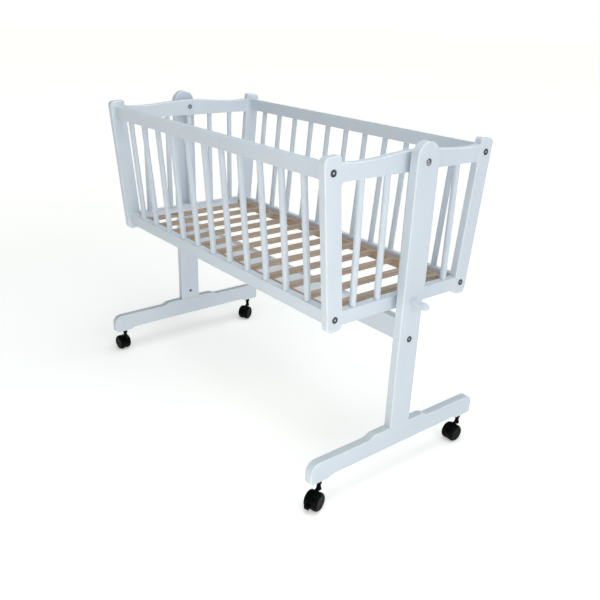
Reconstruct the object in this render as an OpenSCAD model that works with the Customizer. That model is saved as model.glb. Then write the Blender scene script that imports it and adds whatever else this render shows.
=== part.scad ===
// Swinging cradle hung between the two posts of a stand on castors.
// Frame: +X along the cradle towards the end with the locking peg,
// +Y across it, +Z up. The origin is on the floor under the middle
// of the swing axis. All lengths are in millimetres.

/* [Size] */
// Length of the cradle over its corner posts
cradle_len = 940; // [880:2:1000]
// Height of the swing axis above the floor
pivot_z = 766; // [762:1:800]
// Half the distance across the cradle between the lower corner bolts
low_y = 204.6; // [200:0.2:212]
// Half the distance across the cradle between the upper corner bolts
top_y = 231.4; // [226:0.2:240]

/* [Stand] */
// Thickness of the posts, feet and stretcher
stand_t = 22; // [20:1:26]
// Gap between the corner posts and the stand posts
side_gap = 11; // [9:0.5:14]
// Width of the stand posts
post_w = 65; // [58:1:74]
// Half the length of a foot
foot_half = 278; // [262:1:310]
// Height of the stretcher board
stretcher_h = 52; // [44:1:52]
// Height of the stretcher's lower edge above the floor
stretcher_z = 353; // [330:1:353]

/* [Cradle] */
// Thickness of the corner posts
corner_t = 20; // [18:1:24]
// Width of the corner posts
corner_w = 43; // [40:1:46]
// Thickness of the rails
rail_t = 18; // [18:1:20]
// Height of the side rails and lower end rails
rail_h = 32; // [30:1:34]
// Diameter of the round bars
bar_d = 15; // [12:0.5:16]
// Number of bars in each side
side_bars = 11; // [9:1:12]
// Number of bars in each end
end_bars = 5; // [3:2:5]

/* [Base] */
// Number of slats
slat_count = 12; // [10:2:14]
// Width of a slat
slat_w = 20; // [16:1:26]
// Thickness of a slat
slat_t = 10; // [8:0.5:11]

/* [Castors] */
// Radius of the twin wheels
wheel_r = 23; // [21:0.5:24]
// Width over both wheels
castor_w = 36; // [34:1:44]
// Distance from the stem to the wheel axle
trail = 17; // [16:0.5:18]
// Heading of the castor at the front of the peg end, in degrees
dir_rf = 288; // [0:1:359]
// Heading of the castor at the rear of the peg end, in degrees
dir_rr = 270; // [0:1:359]
// Heading of the castor at the front of the far end, in degrees
dir_lf = 186; // [0:1:359]
// Heading of the castor at the rear of the far end, in degrees
dir_lr = 296; // [0:1:359]

/* [Hidden] */
$fn = 64;

// Colours
paint = [0.87, 0.90, 0.92];
slatwood = [0.80, 0.68, 0.54];
pine = [0.78, 0.56, 0.36];
dowelwood = [0.86, 0.74, 0.55];
zinc = [0.62, 0.63, 0.65];
chrome = [0.80, 0.81, 0.83];
black = [0.05, 0.05, 0.06];

// Stand
post_in = cradle_len / 2 + side_gap;
post_out = post_in + stand_t;
post_mid = post_in + stand_t / 2;
post_base = 134;
post_top_r = post_w / 2;
post_top_c = pivot_z + 42 - post_top_r;
foot_pad_z = 71.5;
foot_rise_z = 78;
foot_mid_z = 125.5;
stem_y = foot_half - 34.5;
stretcher_bolt_z = stretcher_z + 10;
stretcher_dowel_z = stretcher_z + stretcher_h - 10;
peg_z = pivot_z - 311;

// Cradle
corner_in = cradle_len / 2 - corner_t;
corner_out = cradle_len / 2;
rail_x = corner_out - 10;
low_z = pivot_z - 316.9;
top_z = pivot_z - 4.6;
side_rise = norm([top_y - low_y, top_z - low_z]);
lean = atan((top_y - low_y) / (top_z - low_z));
slope = (top_y - low_y) / (top_z - low_z);
side_pitch = (cradle_len - 180) / (side_bars - 1);
end_pitch = 294 / (end_bars - 1);
end_top_z = pivot_z - 24.5;
tenon_d = 10;
tenon_l = 10;
fit = 0.05;

// Base
slat_pitch = (cradle_len - 120.5) / (slat_count - 1);
batten_y = low_y - 20.85;
batten_w = 20.5;
batten_h = 20;
slat_top = low_z + 7.9;
slat_half = batten_y + 9.75;

// Hardware
bolt_d = 6;
bolt_hole = 6.3;
head_d = 14.6;
head_sink = 1;
nut_d = 10;
dowel_d = 8;

// Castors
spine_t = 8;
wheel_in = spine_t / 2 + 0.4;
wheel_w = castor_w / 2 - wheel_in;
wheel_edge = 7;
axle_d = 6;
stem_d = 7;
collar_top = foot_pad_z - 1.6;

// y of the inner edge of a leaning corner post at height z
function post_edge(z) = low_y + (z - low_z) * slope - corner_w / 2 / cos(lean);
// Smooth step from 0 to 1
function ease(t) = t <= 0 ? 0 : t >= 1 ? 1 : (1 - cos(180 * t)) / 2;
// Upper edge of a foot at distance y from its middle
function foot_top(y) = post_base - (post_base - foot_mid_z) * ease((y - 80) / 26);
// Lower edge of a foot
function foot_low(y) = foot_rise_z - (foot_rise_z - foot_pad_z) * ease((y - foot_half + 76) / 28);
// Upper edge of an end's top rail
function crest(y) = pivot_z + 20 - 9.2 * ease(y / 165) + 3 * ease((y - 165) / 60);

// Rectangle with rounded corners, centred
module rrect(w, h, r) {
    square([w - 2 * r, h], center = true);
    square([w, h - 2 * r], center = true);
    for (i = [-1, 1], j = [-1, 1])
        translate([i * (w / 2 - r), j * (h / 2 - r)]) circle(r, $fn = 32);
}

// Straight bar along X with rounded edges, w across and h high
module bar_x(x0, x1, w, h, r) {
    translate([x0, 0, 0]) rotate([90, 0, 90]) linear_extrude(x1 - x0) rrect(w, h, r);
}

// Straight bar along Y with rounded edges, w across and h high
module bar_y(y0, y1, w, h, r) {
    translate([0, y1, 0]) rotate([90, 0, 0]) linear_extrude(y1 - y0) rrect(w, h, r);
}

// Round pin along X
module pin_x(x0, x1, r) {
    translate([x0, 0, 0]) rotate([0, 90, 0]) cylinder(h = x1 - x0, r = r);
}

// Round pin along Y
module pin_y(y0, y1, r) {
    translate([0, y1, 0]) rotate([90, 0, 0]) cylinder(h = y1 - y0, r = r);
}

// Round pin along Z
module pin_z(z0, z1, r) {
    translate([0, 0, z0]) cylinder(h = z1 - z0, r = r);
}

// Puts something made at the +X end at the chosen end, -1 or 1
module at_end(s) { mirror([s < 0 ? 1 : 0, 0, 0]) children(); }

// Puts something made on the +Y side at the chosen side, -1 or 1
module at_side(s) { mirror([0, s < 0 ? 1 : 0, 0]) children(); }

// Frame of a leaning side: Z runs up the side, Y outwards, origin at the lower bolt
module leaning(s) {
    at_side(s) translate([0, low_y, low_z]) rotate([-lean, 0, 0]) children();
}

// Bolt along X, driven from +X: head with a hex socket, shank inwards
module bolt_x(face, tip) {
    difference() {
        union() {
            pin_x(face - head_sink, face + 1.4, head_d / 2);
            pin_x(tip, face - head_sink + 0.2, bolt_d / 2);
        }
        translate([face - 0.6, 0, 0]) rotate([0, 90, 0]) cylinder(h = 3, d = 4.6, $fn = 6);
    }
}

// ---------- stand ----------

module stand_post(peg) {
    difference() {
        translate([post_in, 0, 0]) rotate([90, 0, 90]) linear_extrude(stand_t) union() {
            translate([-post_w / 2, post_base]) square([post_w, post_top_c - post_base]);
            translate([0, post_top_c]) circle(r = post_top_r, $fn = 128);
        }
        // swing axis
        translate([0, 0, pivot_z]) pin_x(post_in - 1, post_out + 1, 5.05);
        // locking peg
        if (peg) translate([0, 0, peg_z]) pin_x(post_in - 1, post_out + 1, 6.08);
        // stretcher bolt and its sunk head
        translate([0, 0, stretcher_bolt_z]) {
            pin_x(post_in - 1, post_out + 1, bolt_hole / 2);
            pin_x(post_out - head_sink, post_out + 1, 7.7);
        }
        // stretcher dowel
        translate([0, 0, stretcher_dowel_z]) pin_x(post_in - 1, post_in + 15.5, dowel_d / 2 + fit);
        // foot bolt, its barrel nut and the two foot dowels
        translate([post_mid, 0, 0]) pin_z(post_base - 1, post_base + 38, bolt_hole / 2);
        translate([0, 0, post_base + 25]) pin_x(post_in - 1, post_mid + 7.6, nut_d / 2 + fit);
        for (y = [-20, 20]) translate([post_mid, y, 0]) pin_z(post_base - 1, post_base + 15.5, dowel_d / 2 + fit);
    }
}
module post_left() { color(paint) at_end(-1) stand_post(false); }
module post_right() { color(paint) stand_post(true); }

// Outline of half a foot from its middle to its tip, then the same mirrored
function foot_half_outline() = concat(
    [for (i = [0 : 2 : 26]) [80 + i, foot_top(80 + i)]],
    [for (a = [90 : -9 : 0]) [foot_half - 25 + 25 * cos(a), foot_mid_z - 25 + 25 * sin(a)]],
    [for (a = [0 : -15 : -90]) [foot_half - 8 + 8 * cos(a), foot_pad_z + 8 + 8 * sin(a)]],
    [for (i = [28 : -2 : 0]) [foot_half - 76 + i, foot_low(foot_half - 76 + i)]]);
module foot() {
    h = foot_half_outline();
    m = [for (i = [len(h) - 1 : -1 : 0]) [-h[i][0], h[i][1]]];
    difference() {
        translate([post_in, 0, 0]) rotate([90, 0, 90]) linear_extrude(stand_t) polygon(concat(h, m));
        // bolt up into the post, with its head sunk into the foot
        translate([post_mid, 0, 0]) {
            pin_z(foot_rise_z - 1, post_base + 1, bolt_hole / 2);
            pin_z(foot_rise_z - 1, foot_rise_z + 7, 7.7);
        }
        for (y = [-20, 20]) translate([post_mid, y, 0]) pin_z(post_base - 15.5, post_base + 1, dowel_d / 2 + fit);
        // castor sockets
        for (y = [-stem_y, stem_y]) translate([post_mid, y, 0]) pin_z(foot_pad_z - 1, foot_pad_z + 37, 5.55);
    }
}
module foot_left() { color(paint) at_end(-1) foot(); }
module foot_right() { color(paint) foot(); }

module stretcher() {
    color(paint) difference() {
        translate([0, 0, stretcher_z + stretcher_h / 2]) bar_x(-post_in, post_in, stand_t, stretcher_h, 3);
        for (s = [-1, 1]) at_end(s) {
            translate([0, 0, stretcher_bolt_z]) pin_x(post_in - 47, post_in + 1, bolt_hole / 2);
            translate([0, 0, stretcher_dowel_z]) pin_x(post_in - 15.5, post_in + 1, dowel_d / 2 + fit);
            translate([post_in - 33, 0, stretcher_bolt_z]) pin_y(-7.3, stand_t / 2 + 1, nut_d / 2 + fit);
        }
    }
}
module stretcher_bolts() {
    color(zinc) for (s = [-1, 1]) at_end(s) translate([0, 0, stretcher_bolt_z]) bolt_x(post_out, post_in - 45);
}
module barrel_nut(l) {
    difference() {
        pin_z(-l / 2, l / 2, nut_d / 2);
        rotate([0, 90, 0]) cylinder(h = nut_d + 2, d = bolt_d + 0.1, center = true);
    }
}
module stretcher_barrel_nuts() {
    color(zinc) for (s = [-1, 1]) at_end(s) translate([post_in - 33, 0, stretcher_bolt_z]) rotate([90, 0, 0]) barrel_nut(14);
}
module stretcher_dowels() {
    color(dowelwood) for (s = [-1, 1]) at_end(s) translate([0, 0, stretcher_dowel_z]) pin_x(post_in - 15, post_in + 15, dowel_d / 2);
}
module foot_bolts() {
    color(zinc) for (s = [-1, 1]) at_end(s) translate([post_mid, 0, 0]) difference() {
        union() {
            pin_z(foot_rise_z + 3, foot_rise_z + 7, head_d / 2);
            pin_z(foot_rise_z + 6.8, post_base + 36, bolt_d / 2);
        }
        pin_z(foot_rise_z + 2, foot_rise_z + 5, 2.3, $fn = 6);
    }
}
module foot_barrel_nuts() {
    color(zinc) for (s = [-1, 1]) at_end(s) translate([post_mid, 0, post_base + 25]) rotate([0, 90, 0]) barrel_nut(14.4);
}
module foot_dowels() {
    color(dowelwood) for (s = [-1, 1], y = [-20, 20]) at_end(s) translate([post_mid, y, 0]) pin_z(post_base - 15, post_base + 15, dowel_d / 2);
}
module castor_sockets() {
    color(zinc) for (s = [-1, 1], y = [-stem_y, stem_y]) at_end(s) translate([post_mid, y, 0]) difference() {
        union() {
            pin_z(foot_pad_z - 1.2, foot_pad_z, 7.5);
            pin_z(foot_pad_z - 1, foot_pad_z + 36.5, 5.5);
        }
        pin_z(foot_pad_z - 3, foot_pad_z + 34, stem_d / 2 + fit);
    }
}
// Domed bolt head on the outer face of the post and its shank
module pivot_bolts() {
    color(chrome) for (s = [-1, 1]) at_end(s) translate([post_out, 0, pivot_z]) rotate([0, 90, 0]) rotate_extrude($fn = 96) union() {
        translate([0, -41]) square([3, 42]);
        square([8, 0.8]);
        intersection() {
            translate([0, -5.2]) circle(r = 10, $fn = 96);
            translate([0, 0.5]) square([7.95, 6]);
        }
    }
}
// Sleeve nut that carries the cradle: head inside the cradle, barrel through rail, spacer and post
module pivot_sleeves() {
    color(chrome) for (s = [-1, 1]) at_end(s) translate([0, 0, pivot_z]) difference() {
        union() {
            pin_x(rail_x - rail_t / 2 - 2.3, rail_x - rail_t / 2 - 0.3, 6.5);
            pin_x(rail_x - rail_t / 2 - 0.4, post_out - 3, 5);
        }
        pin_x(rail_x - rail_t / 2 + 7, post_out, 3.05);
        pin_x(rail_x - rail_t / 2 - 4, rail_x - rail_t / 2 + 1.2, 2.9, $fn = 6);
    }
}
module pivot_spacers() {
    color(zinc) for (s = [-1, 1]) at_end(s) translate([0, 0, pivot_z]) difference() {
        pin_x(rail_x + rail_t / 2 + 0.3, post_in, 11);
        pin_x(rail_x + rail_t / 2 - 1, post_in + 1, 5.1);
    }
}

// Radius of the peg's handle at distance d from the post: collar, waist, swelling and rounded end
function peg_r(d) = d < 33 ? 6.7 + 1.1 * ease((8 - d) / 5) + 2.4 * ease((d - 12) / 18) : 9.1 * sqrt(max(0, 1 - pow((d - 33) / 13, 2)));
// Steps along the handle, closer together towards its end
function peg_d(i) = 0.3 + 45.7 * sin(3 * i);
// Turned peg: shank in the post, handle outside it
module lock_peg() {
    h = [for (i = [0 : 29]) [peg_r(peg_d(i)), post_out + peg_d(i)]];
    color(paint) translate([0, 0, peg_z]) rotate([0, 90, 0]) rotate_extrude($fn = 96)
        polygon(concat([[0, post_in], [6, post_in], [6, post_out + 0.3]], h, [[0, post_out + 46]]));
}

// ---------- cradle ----------

// Leaning corner post with rounded ends
module corner_post(s_end, s_side) {
    at_end(s_end) leaning(s_side) difference() {
        translate([corner_in, 0, 0]) rotate([90, 0, 90]) linear_extrude(corner_t) {
            w = corner_w / 2;
            t = side_rise + 31.7;
            translate([-w, -15.3]) square([corner_w, t - 12 + 15.3]);
            translate([-w + 14, -29.3]) square([corner_w - 28, 40]);
            for (i = [-1, 1]) translate([i * (w - 14), -15.3]) circle(r = 14, $fn = 64);
            translate([-w + 6, t - 20]) square([corner_w - 18, 20]);
            translate([-w, t - 20]) square([12, 14]);
            translate([-w + 6, t - 6]) circle(r = 6, $fn = 48);
            translate([w - 12, t - 12]) circle(r = 12, $fn = 64);
        }
        for (z = [0, side_rise]) translate([0, 0, z]) {
            pin_x(corner_in - 1, corner_out + 1, bolt_hole / 2);
            pin_x(corner_out - head_sink, corner_out + 1, 7.7);
        }
        // dowel holes of the end rails, on the inner edge
        rotate([lean, 0, 0]) translate([0, -low_y, -low_z]) end_dowel_holes();
    }
}
module end_dowel_holes() {
    for (z = [low_z - 8, low_z + 8, pivot_z - 13, pivot_z + 5])
        translate([rail_x, 0, z]) pin_y(post_edge(z) - 14.5, post_edge(z) + 14.5, dowel_d / 2 + fit);
}
module corner_post_fl() { color(paint) corner_post(-1, -1); }
module corner_post_fr() { color(paint) corner_post(1, -1); }
module corner_post_rl() { color(paint) corner_post(-1, 1); }
module corner_post_rr() { color(paint) corner_post(1, 1); }

// Length of the tenon at the foot of end bar i: the middle one stops above the peg hole
function end_tenon(i) = i == (end_bars - 1) / 2 ? 3 : tenon_l;

module end_bar_holes() {
    for (i = [0 : end_bars - 1]) translate([rail_x, (i - (end_bars - 1) / 2) * end_pitch, 0]) {
        pin_z(low_z + rail_h / 2 - end_tenon(i) - 0.2, low_z + rail_h / 2 + 1, tenon_d / 2 + fit);
        pin_z(end_top_z - 1, end_top_z + tenon_l + 0.2, tenon_d / 2 + fit);
    }
}
// Top rail of an end, with its waved upper edge
module end_top_rail(s) {
    zt = end_top_z;
    e0 = post_edge(zt);
    e1 = post_edge(crest(210));
    h = [for (i = [0 : 3 : 204]) [i, crest(i)]];
    p = concat([[e0, zt]], [[e1, crest(e1)]], [for (i = [len(h) - 1 : -1 : 1]) h[i]]);
    m = [for (i = [len(p) - 1 : -1 : 0]) [-p[i][0], p[i][1]]];
    at_end(s) difference() {
        translate([rail_x - rail_t / 2, 0, 0]) rotate([90, 0, 90]) linear_extrude(rail_t) polygon(concat(p, m));
        translate([0, 0, pivot_z]) pin_x(rail_x - 20, rail_x + 20, 5.05);
        end_bar_holes();
        for (k = [-1, 1]) at_side(k) end_dowel_holes();
    }
}
module end_top_rail_left() { color(paint) end_top_rail(-1); }
module end_top_rail_right() { color(paint) end_top_rail(1); }

module end_lower_rail(s, peg) {
    z0 = low_z - rail_h / 2 - 0.1;
    z1 = low_z + rail_h / 2 - 0.1;
    at_end(s) difference() {
        intersection() {
            translate([rail_x, 0, low_z - 0.1]) bar_y(-low_y, low_y, rail_t, rail_h, 3);
            translate([rail_x - rail_t, 0, 0]) rotate([90, 0, 90]) linear_extrude(2 * rail_t)
                polygon([[-post_edge(z0 - 2), z0 - 2], [post_edge(z0 - 2), z0 - 2],
                    [post_edge(z1 + 2), z1 + 2], [-post_edge(z1 + 2), z1 + 2]]);
        }
        if (peg) translate([0, 0, peg_z]) pin_x(rail_x - 20, rail_x + 20, 6.3);
        end_bar_holes();
        for (k = [-1, 1]) at_side(k) end_dowel_holes();
    }
}
module end_lower_rail_left() { color(paint) end_lower_rail(-1, false); }
module end_lower_rail_right() { color(paint) end_lower_rail(1, true); }

// Upright round bars of an end, with a tenon at both ends
module end_bars_at(s) {
    z0 = low_z + rail_h / 2 - 0.1;
    at_end(s) for (i = [0 : end_bars - 1]) translate([rail_x, (i - (end_bars - 1) / 2) * end_pitch, 0]) {
        pin_z(z0, end_top_z, bar_d / 2);
        pin_z(z0 - end_tenon(i), end_top_z + tenon_l, tenon_d / 2);
    }
}
module end_bars_left() { color(paint) end_bars_at(-1); }
module end_bars_right() { color(paint) end_bars_at(1); }

module side_bar_holes(z0, z1) {
    for (i = [0 : side_bars - 1]) translate([(i - (side_bars - 1) / 2) * side_pitch, 0, 0]) pin_z(z0, z1, tenon_d / 2 + fit);
}
// Rail of a side; z is its middle height up the side, down is 1 for the lower rail
module side_rail(k, z, lower) {
    leaning(k) difference() {
        translate([0, 0, z]) bar_x(-corner_in, corner_in, rail_t, rail_h, 4);
        for (s = [-1, 1]) at_end(s) translate([0, 0, z]) {
            pin_x(corner_in - 33, corner_in + 1, bolt_hole / 2);
            translate([corner_in - 20, 0, 0]) pin_z(-rail_h / 2 - 1, 7.3, nut_d / 2 + fit);
        }
        if (lower) side_bar_holes(z + rail_h / 2 - tenon_l - 0.2, z + rail_h / 2 + 1);
        else side_bar_holes(z - rail_h / 2 - 1, z - rail_h / 2 + tenon_l + 0.2);
    }
}
module side_top_rail_front() { color(paint) side_rail(-1, side_rise, false); }
module side_top_rail_rear() { color(paint) side_rail(1, side_rise, false); }
// The lower rails also take the screws of the battens
module side_lower_rail(k) {
    difference() {
        side_rail(k, 0, true);
        at_side(k) batten_screw_places() pin_y(0, 31.5, 1.9);
    }
}
module side_lower_rail_front() { color(paint) side_lower_rail(-1); }
module side_lower_rail_rear() { color(paint) side_lower_rail(1); }

module side_bars_at(k) {
    z0 = rail_h / 2;
    z1 = side_rise - rail_h / 2;
    leaning(k) for (i = [0 : side_bars - 1]) translate([(i - (side_bars - 1) / 2) * side_pitch, 0, 0]) {
        pin_z(z0, z1, bar_d / 2);
        pin_z(z0 - tenon_l, z1 + tenon_l, tenon_d / 2);
    }
}
module side_bars_front() { color(paint) side_bars_at(-1); }
module side_bars_rear() { color(paint) side_bars_at(1); }

module rail_dowels() {
    color(dowelwood) for (s = [-1, 1], k = [-1, 1], z = [low_z - 8, low_z + 8, pivot_z - 13, pivot_z + 5])
        at_end(s) at_side(k) translate([rail_x, 0, z]) pin_y(post_edge(z) - 14, post_edge(z) + 14, dowel_d / 2);
}
module corner_bolts() {
    color(zinc) for (s = [-1, 1], k = [-1, 1], z = [0, side_rise])
        at_end(s) leaning(k) translate([0, 0, z]) bolt_x(corner_out, corner_in - 31);
}
module corner_barrel_nuts() {
    color(zinc) for (s = [-1, 1], k = [-1, 1], z = [0, side_rise])
        at_end(s) leaning(k) translate([corner_in - 20, 0, z]) barrel_nut(14);
}

// ---------- slatted base ----------

module slat_places() {
    for (i = [0 : slat_count - 1]) translate([(i - (slat_count - 1) / 2) * slat_pitch, 0, 0]) children();
}
// Screws through the batten's inner face into the lower side rail
module batten_screw_places() {
    for (i = [1 - slat_count / 2, -2, 2, slat_count / 2 - 1]) translate([i * slat_pitch, batten_y - batten_w / 2, slat_top - 15]) children();
}
module slat_screw_places(k) {
    slat_places() translate([0, k * batten_y, slat_top - batten_h]) children();
}
module batten(k) {
    difference() {
        translate([0, k * batten_y, slat_top - batten_h / 2]) bar_x(-corner_in + 1, corner_in - 1, batten_w, batten_h, 1.5);
        slat_places() translate([-slat_w / 2 - 0.1, k * batten_y - 20, slat_top - slat_t]) cube([slat_w + 0.2, 40, 20]);
        at_side(k) batten_screw_places() {
            pin_y(-1, batten_w + 1, 2.1);
            rotate([-90, 0, 0]) cylinder(h = 2.6, r1 = 4.2, r2 = 2.1);
            pin_y(-1, 0.01, 4.2);
        }
        slat_screw_places(k) {
            pin_z(-1, batten_h, 1.85);
            cylinder(h = 2.2, r1 = 3.6, r2 = 1.85);
            pin_z(-1, 0.01, 3.6);
        }
    }
}
module batten_front() { color(pine) batten(-1); }
module batten_rear() { color(pine) batten(1); }
module batten_screws() {
    color(zinc) for (k = [-1, 1]) at_side(k) batten_screw_places() {
        pin_y(0.2, 31, 1.8);
        translate([0, 0.2, 0]) rotate([-90, 0, 0]) cylinder(h = 2.1, r1 = 3.9, r2 = 1.8);
    }
}
module slats() {
    color(slatwood) difference() {
        slat_places() translate([0, 0, slat_top - slat_t / 2]) bar_y(-slat_half, slat_half, slat_w, slat_t, 1.5);
        for (k = [-1, 1]) slat_screw_places(k) pin_z(0, batten_h - 2.6, 1.65);
    }
}
module slat_screws() {
    color(zinc) for (k = [-1, 1]) slat_screw_places(k) {
        pin_z(0.2, batten_h - 3, 1.6);
        translate([0, 0, 0.2]) cylinder(h = 1.8, r1 = 3.4, r2 = 1.6);
    }
}

// ---------- castors ----------
// Each is made with its stem on the Z axis and its wheels behind it, along +X

module castor_at(sx, sy, dir) {
    translate([sx * post_mid, sy * stem_y, 0]) rotate([0, 0, dir]) children();
}
module housing(brake) {
    difference() {
        union() {
            translate([0, spine_t / 2, 0]) rotate([90, 0, 0]) linear_extrude(spine_t) union() {
                translate([trail, wheel_r]) circle(r = wheel_r - 0.7, $fn = 96);
                translate([-6, wheel_r + 3]) square([14, wheel_r]);
            }
            // neck, narrower in the middle, with a collar under the foot
            translate([0, 0, 2 * wheel_r - 1.5]) cylinder(h = 8.5, r1 = 6, r2 = 4.8);
            pin_z(2 * wheel_r + 6.9, collar_top - 6.9, 4.8);
            translate([0, 0, collar_top - 7]) cylinder(h = 3.5, r1 = 4.8, r2 = 6.2);
            pin_z(collar_top - 3.6, collar_top, 6.2);
        }
        translate([0, 0, 55]) cylinder(h = 40, d = stem_d + 0.04);
        translate([trail, 0, wheel_r]) pin_y(-spine_t, spine_t, axle_d / 2 + 0.03);
        // room for the brake lever: round its ring and over the sweep of its arm
        if (brake) translate([trail, 0, wheel_r]) {
            pin_y(-spine_t, 0, 7.5);
            hull() for (a = [15, -12]) rotate([0, a, 0])
                translate([0, -spine_t, -4.6]) cube([wheel_r + 6, spine_t, 9.2]);
        }
    }
}
module pins() {
    pin_z(55, foot_pad_z + 33, stem_d / 2);
    translate([trail, 0, wheel_r]) pin_y(-wheel_in - wheel_w + 3, wheel_in + wheel_w - 3, axle_d / 2);
}
// One wheel of a pair: side 1 or -1 across the heading
module wheel(side) {
    translate([trail, 0, wheel_r]) at_side(side) rotate([-90, 0, 0]) translate([0, 0, wheel_in]) difference() {
        rotate_extrude($fn = 96) union() {
            square([wheel_r - wheel_edge, wheel_w]);
            square([wheel_r, wheel_w - wheel_edge]);
            translate([wheel_r - wheel_edge, wheel_w - wheel_edge]) circle(r = wheel_edge, $fn = 64);
        }
        pin_z(-1, wheel_w - 2.5, axle_d / 2 + 0.05);
        // ring groove in the outer face
        difference() { pin_z(wheel_w - 0.7, wheel_w + 1, 13.4); pin_z(wheel_w - 2, wheel_w + 2, 12.4); }
    }
}
// Foot lever of the brake: ring round the axle, arm between the wheels, tab behind them
module brake_lever() {
    translate([trail, 0, wheel_r]) rotate([0, 14, 0]) difference() {
        union() {
            translate([0, -0.3, 0]) rotate([90, 0, 0]) cylinder(h = spine_t / 2 - 0.3, r = 7);
            translate([0, -spine_t / 2, -4]) cube([wheel_r + 3, spine_t / 2 - 0.3, 8]);
            translate([wheel_r + 1.2, -4.5, 0]) rotate([90, 0, 90]) linear_extrude(4.6) rrect(13, 11, 2.5);
        }
        pin_y(-spine_t, spine_t, axle_d / 2 + 0.06);
    }
}
module castor_rf_housing() { color(black) castor_at(1, -1, dir_rf) housing(true); }
module castor_rf_pins() { color(zinc) castor_at(1, -1, dir_rf) pins(); }
module castor_rf_wheel_a() { color(black) castor_at(1, -1, dir_rf) wheel(1); }
module castor_rf_wheel_b() { color(black) castor_at(1, -1, dir_rf) wheel(-1); }
module castor_rf_brake() { color(black) castor_at(1, -1, dir_rf) brake_lever(); }
module castor_rr_housing() { color(black) castor_at(1, 1, dir_rr) housing(false); }
module castor_rr_pins() { color(zinc) castor_at(1, 1, dir_rr) pins(); }
module castor_rr_wheel_a() { color(black) castor_at(1, 1, dir_rr) wheel(1); }
module castor_rr_wheel_b() { color(black) castor_at(1, 1, dir_rr) wheel(-1); }
module castor_lf_housing() { color(black) castor_at(-1, -1, dir_lf) housing(true); }
module castor_lf_pins() { color(zinc) castor_at(-1, -1, dir_lf) pins(); }
module castor_lf_wheel_a() { color(black) castor_at(-1, -1, dir_lf) wheel(1); }
module castor_lf_wheel_b() { color(black) castor_at(-1, -1, dir_lf) wheel(-1); }
module castor_lf_brake() { color(black) castor_at(-1, -1, dir_lf) brake_lever(); }
module castor_lr_housing() { color(black) castor_at(-1, 1, dir_lr) housing(false); }
module castor_lr_pins() { color(zinc) castor_at(-1, 1, dir_lr) pins(); }
module castor_lr_wheel_a() { color(black) castor_at(-1, 1, dir_lr) wheel(1); }
module castor_lr_wheel_b() { color(black) castor_at(-1, 1, dir_lr) wheel(-1); }

post_left();
post_right();
foot_left();
foot_right();
stretcher();
stretcher_bolts();
stretcher_barrel_nuts();
stretcher_dowels();
foot_bolts();
foot_barrel_nuts();
foot_dowels();
castor_sockets();
pivot_bolts();
pivot_sleeves();
pivot_spacers();
lock_peg();
corner_post_fl();
corner_post_fr();
corner_post_rl();
corner_post_rr();
end_top_rail_left();
end_top_rail_right();
end_lower_rail_left();
end_lower_rail_right();
end_bars_left();
end_bars_right();
side_top_rail_front();
side_top_rail_rear();
side_lower_rail_front();
side_lower_rail_rear();
side_bars_front();
side_bars_rear();
rail_dowels();
corner_bolts();
corner_barrel_nuts();
batten_front();
batten_rear();
batten_screws();
slats();
slat_screws();
castor_rf_housing();
castor_rf_pins();
castor_rf_wheel_a();
castor_rf_wheel_b();
castor_rf_brake();
castor_rr_housing();
castor_rr_pins();
castor_rr_wheel_a();
castor_rr_wheel_b();
castor_lf_housing();
castor_lf_pins();
castor_lf_wheel_a();
castor_lf_wheel_b();
castor_lf_brake();
castor_lr_housing();
castor_lr_pins();
castor_lr_wheel_a();
castor_lr_wheel_b();
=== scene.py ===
import math

import bmesh
import bpy
from mathutils import Matrix, Vector


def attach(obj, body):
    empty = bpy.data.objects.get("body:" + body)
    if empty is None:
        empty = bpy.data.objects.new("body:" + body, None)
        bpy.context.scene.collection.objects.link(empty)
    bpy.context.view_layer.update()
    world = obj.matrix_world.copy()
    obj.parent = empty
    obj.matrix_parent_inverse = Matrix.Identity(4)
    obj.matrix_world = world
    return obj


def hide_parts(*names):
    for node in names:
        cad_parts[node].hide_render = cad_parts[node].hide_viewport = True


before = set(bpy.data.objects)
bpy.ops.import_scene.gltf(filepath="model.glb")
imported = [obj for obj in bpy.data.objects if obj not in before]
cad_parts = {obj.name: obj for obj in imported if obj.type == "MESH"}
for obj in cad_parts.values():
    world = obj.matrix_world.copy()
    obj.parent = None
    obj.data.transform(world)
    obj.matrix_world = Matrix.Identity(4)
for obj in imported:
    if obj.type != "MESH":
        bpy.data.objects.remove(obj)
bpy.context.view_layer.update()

scene = bpy.context.scene
MM = 0.001

# ---------------------------------------------------------------- dimensions
# The same numbers as the CAD source, in millimetres.
PIVOT = 766.0
LOW_Y, TOP_Y = 204.6, 231.4
LOW_Z, TOP_Z = PIVOT - 316.9, PIVOT - 4.6
SLOPE = (TOP_Y - LOW_Y) / (TOP_Z - LOW_Z)
LEAN = math.atan(SLOPE)
RISE = math.hypot(TOP_Y - LOW_Y, TOP_Z - LOW_Z)
POST_IN, POST_OUT, POST_MID = 481.0, 503.0, 492.0
POST_W, POST_BASE = 65.0, 134.0
CORNER_IN, CORNER_OUT, CORNER_W = 450.0, 470.0, 43.0
RAIL_X, RAIL_T, RAIL_H = 460.0, 18.0, 32.0
FOOT_HALF, STEM_Y = 278.0, 243.5
SLAT_PITCH, SLAT_TOP, BATTEN_Y = 74.5, LOW_Z + 7.9, LOW_Y - 20.85
PEG_Z = PIVOT - 311.0
WHEEL_R, TRAIL = 23.0, 17.0
CASTORS = {"rf": (1, -1, 288.0), "rr": (1, 1, 270.0), "lf": (-1, -1, 186.0), "lr": (-1, 1, 296.0)}


def ease(t):
    return 0.0 if t <= 0 else 1.0 if t >= 1 else (1 - math.cos(math.pi * t)) / 2


def post_edge(z):
    return LOW_Y + (z - LOW_Z) * SLOPE - CORNER_W / 2 / math.cos(LEAN)


def crest(y):
    return PIVOT + 20 - 9.2 * ease(y / 165) + 3 * ease((y - 165) / 60)


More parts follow.
